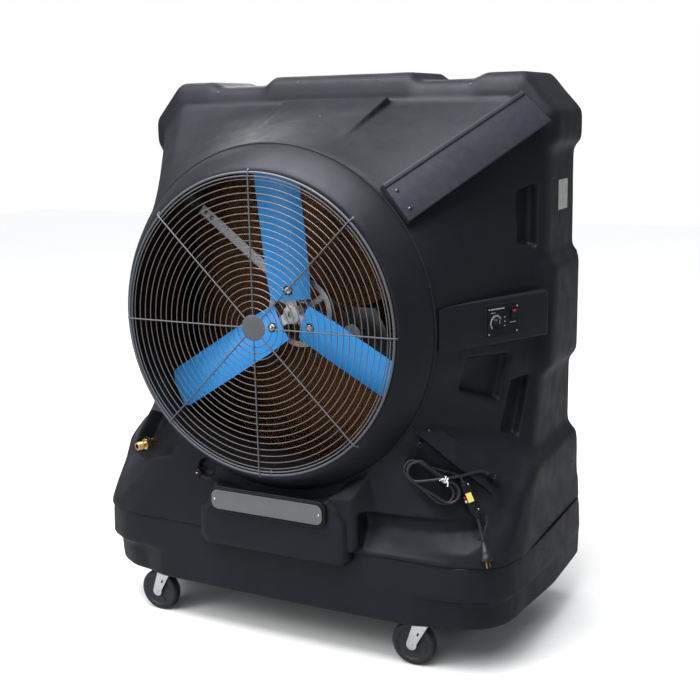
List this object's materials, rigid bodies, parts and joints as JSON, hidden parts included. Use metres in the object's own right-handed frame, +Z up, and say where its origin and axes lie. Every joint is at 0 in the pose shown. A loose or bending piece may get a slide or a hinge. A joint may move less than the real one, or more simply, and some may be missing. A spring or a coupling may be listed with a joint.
{
  "type": "evaporative cooler",
  "caption": "Large portable evaporative cooler: wire-guarded belt-driven fan in a moulded housing over a water tank, wet pads behind, on swivel casters.",
  "frame": {"origin": "on the floor, under the middle of the machine's outline", "axes": "+X to the right seen from in front of the fan, -Y the way the air leaves, +Z up"},
  "size_m": [1.66, 0.95, 1.937],
  "materials": {
    "moulded_plastic": "rotationally moulded, fine grain",
    "black_plastic": "satin",
    "zinc_steel": "bright zinc plate",
    "guard_steel": "grey powder coat on wire",
    "blade_blue": "bright blue powder coat",
    "plate_silver": "blank, brushed",
    "cast_alloy": "as cast",
    "motor_grey": "dark grey enamel",
    "brass": "machined",
    "pad": "corrugated cellulose, brown",
    "wheel_rubber": "black tread",
    "cord_rubber": "satin black jacket",
    "belt_rubber": "fabric-faced belt",
    "switch_red": "red rocker",
    "pipe": "white pressure pipe",
    "tie_white": "white tie"
  },
  "bodies": {
    "base": {"caster_front_left_plate": "zinc_steel", "caster_front_right_plate": "zinc_steel", "caster_rear_left_plate": "zinc_steel", "caster_rear_right_plate": "zinc_steel", "control_box": "moulded_plastic", "control_plate": "black_plastic", "cord_breaker": "cord_rubber", "cord_end": "cord_rubber", "cord_gland": "black_plastic", "cord_hank": "cord_rubber", "cord_hook": "black_plastic", "cord_lead": "cord_rubber", "cord_plug": "cord_rubber", "cord_tail": "cord_rubber", "cord_tie": "tie_white", "distribution_pipe": "pipe", "drive_belt": "belt_rubber", "fan_guard": "guard_steel", "fan_shroud": "moulded_plastic", "float_valve": "brass", "front_housing": "moulded_plastic", "front_panel": "moulded_plastic", "hose_inlet": "brass", "motor": "motor_grey", "motor_bracket": "zinc_steel", "nameplate": "plate_silver", "nameplate_bezel": "black_plastic", "pad_frame": "black_plastic", "pad_left": "pad", "pad_middle": "pad", "pad_right": "pad", "pad_tray": "black_plastic", "pump": "black_plastic", "riser_pipe": "pipe", "shaft_bearing": "cast_alloy", "support_bar": "zinc_steel", "upper_brace": "moulded_plastic", "valve_stem": "zinc_steel", "water_tank": "moulded_plastic"},
    "fan": {"fan_hub": "cast_alloy", "fan_blade_1": "blade_blue", "fan_blade_2": "blade_blue", "fan_blade_3": "blade_blue", "fan_shaft": "zinc_steel", "driven_pulley": "cast_alloy"},
    "motor_rotor": {"motor_pulley": "cast_alloy", "motor_shaft": "zinc_steel"},
    "float": {"float_arm": "brass"},
    "valve": {"valve_knob": "black_plastic"},
    "speed_control": {"speed_knob": "black_plastic"},
    "switch": {"power_switch": "switch_red"},
    "caster_front_left_swivel": {"caster_front_left_fork": "zinc_steel"},
    "caster_front_left_roller": {"caster_front_left_wheel": "wheel_rubber"},
    "caster_front_right_swivel": {"caster_front_right_fork": "zinc_steel"},
    "caster_front_right_roller": {"caster_front_right_wheel": "wheel_rubber"},
    "caster_rear_left_swivel": {"caster_rear_left_fork": "zinc_steel"},
    "caster_rear_left_roller": {"caster_rear_left_wheel": "wheel_rubber"},
    "caster_rear_right_swivel": {"caster_rear_right_fork": "zinc_steel"},
    "caster_rear_right_roller": {"caster_rear_right_wheel": "wheel_rubber"}
  },
  "joints": [
    {"name": "fan_spin", "type": "hinge", "parent": "base", "child": "fan", "pos_m": [0, -0.215, 1.14], "axis": [0, 1, 0], "continuous": true},
    {"name": "motor_spin", "type": "hinge", "parent": "base", "child": "motor_rotor", "pos_m": [0.195, -0.153, 1.072], "axis": [0, 1, 0], "continuous": true},
    {"name": "float_swing", "type": "hinge", "parent": "base", "child": "float", "pos_m": [-0.55, 0.095, 0.34], "axis": [0, 1, 0], "range_deg": [-20, 10]},
    {"name": "valve_turn", "type": "hinge", "parent": "base", "child": "valve", "pos_m": [-0.2885, -0.41, 0.6], "axis": [0, 1, 0], "range_deg": [0, 90]},
    {"name": "speed_turn", "type": "hinge", "parent": "base", "child": "speed_control", "pos_m": [0.69365, -0.13183, 1.143], "axis": [0.8885, -0.4589, 0], "range_deg": [-270, 0]},
    {"name": "switch_rock", "type": "hinge", "parent": "base", "child": "switch", "pos_m": [0.73055, -0.06648, 1.165], "axis": [-0.4589, -0.8885, 0], "range_deg": [0, 16]},
    {"name": "caster_front_left_swivel_turn", "type": "hinge", "parent": "base", "child": "caster_front_left_swivel", "pos_m": [-0.515, -0.297, 0.19], "axis": [0, 0, 1], "continuous": true},
    {"name": "caster_front_left_roll", "type": "hinge", "parent": "caster_front_left_swivel", "child": "caster_front_left_roller", "pos_m": [-0.555, -0.297, 0.076], "axis": [0, 1, 0], "continuous": true},
    {"name": "caster_front_right_swivel_turn", "type": "hinge", "parent": "base", "child": "caster_front_right_swivel", "pos_m": [0.515, -0.297, 0.19], "axis": [0, 0, 1], "continuous": true},
    {"name": "caster_front_right_roll", "type": "hinge", "parent": "caster_front_right_swivel", "child": "caster_front_right_roller", "pos_m": [0.475, -0.297, 0.076], "axis": [0, 1, 0], "continuous": true},
    {"name": "caster_rear_left_swivel_turn", "type": "hinge", "parent": "base", "child": "caster_rear_left_swivel", "pos_m": [-0.665, 0.195, 0.19], "axis": [0, 0, 1], "continuous": true},
    {"name": "caster_rear_left_roll", "type": "hinge", "parent": "caster_rear_left_swivel", "child": "caster_rear_left_roller", "pos_m": [-0.705, 0.195, 0.076], "axis": [0, 1, 0], "continuous": true},
    {"name": "caster_rear_right_swivel_turn", "type": "hinge", "parent": "base", "child": "caster_rear_right_swivel", "pos_m": [0.665, 0.195, 0.19], "axis": [0, 0, 1], "continuous": true},
    {"name": "caster_rear_right_roll", "type": "hinge", "parent": "caster_rear_right_swivel", "child": "caster_rear_right_roller", "pos_m": [0.625, 0.195, 0.076], "axis": [0, 1, 0], "continuous": true}
  ],
  "couplings": [
    {"joint": "motor_spin", "follows": "fan_spin", "ratio": 3.5778}
  ]
}
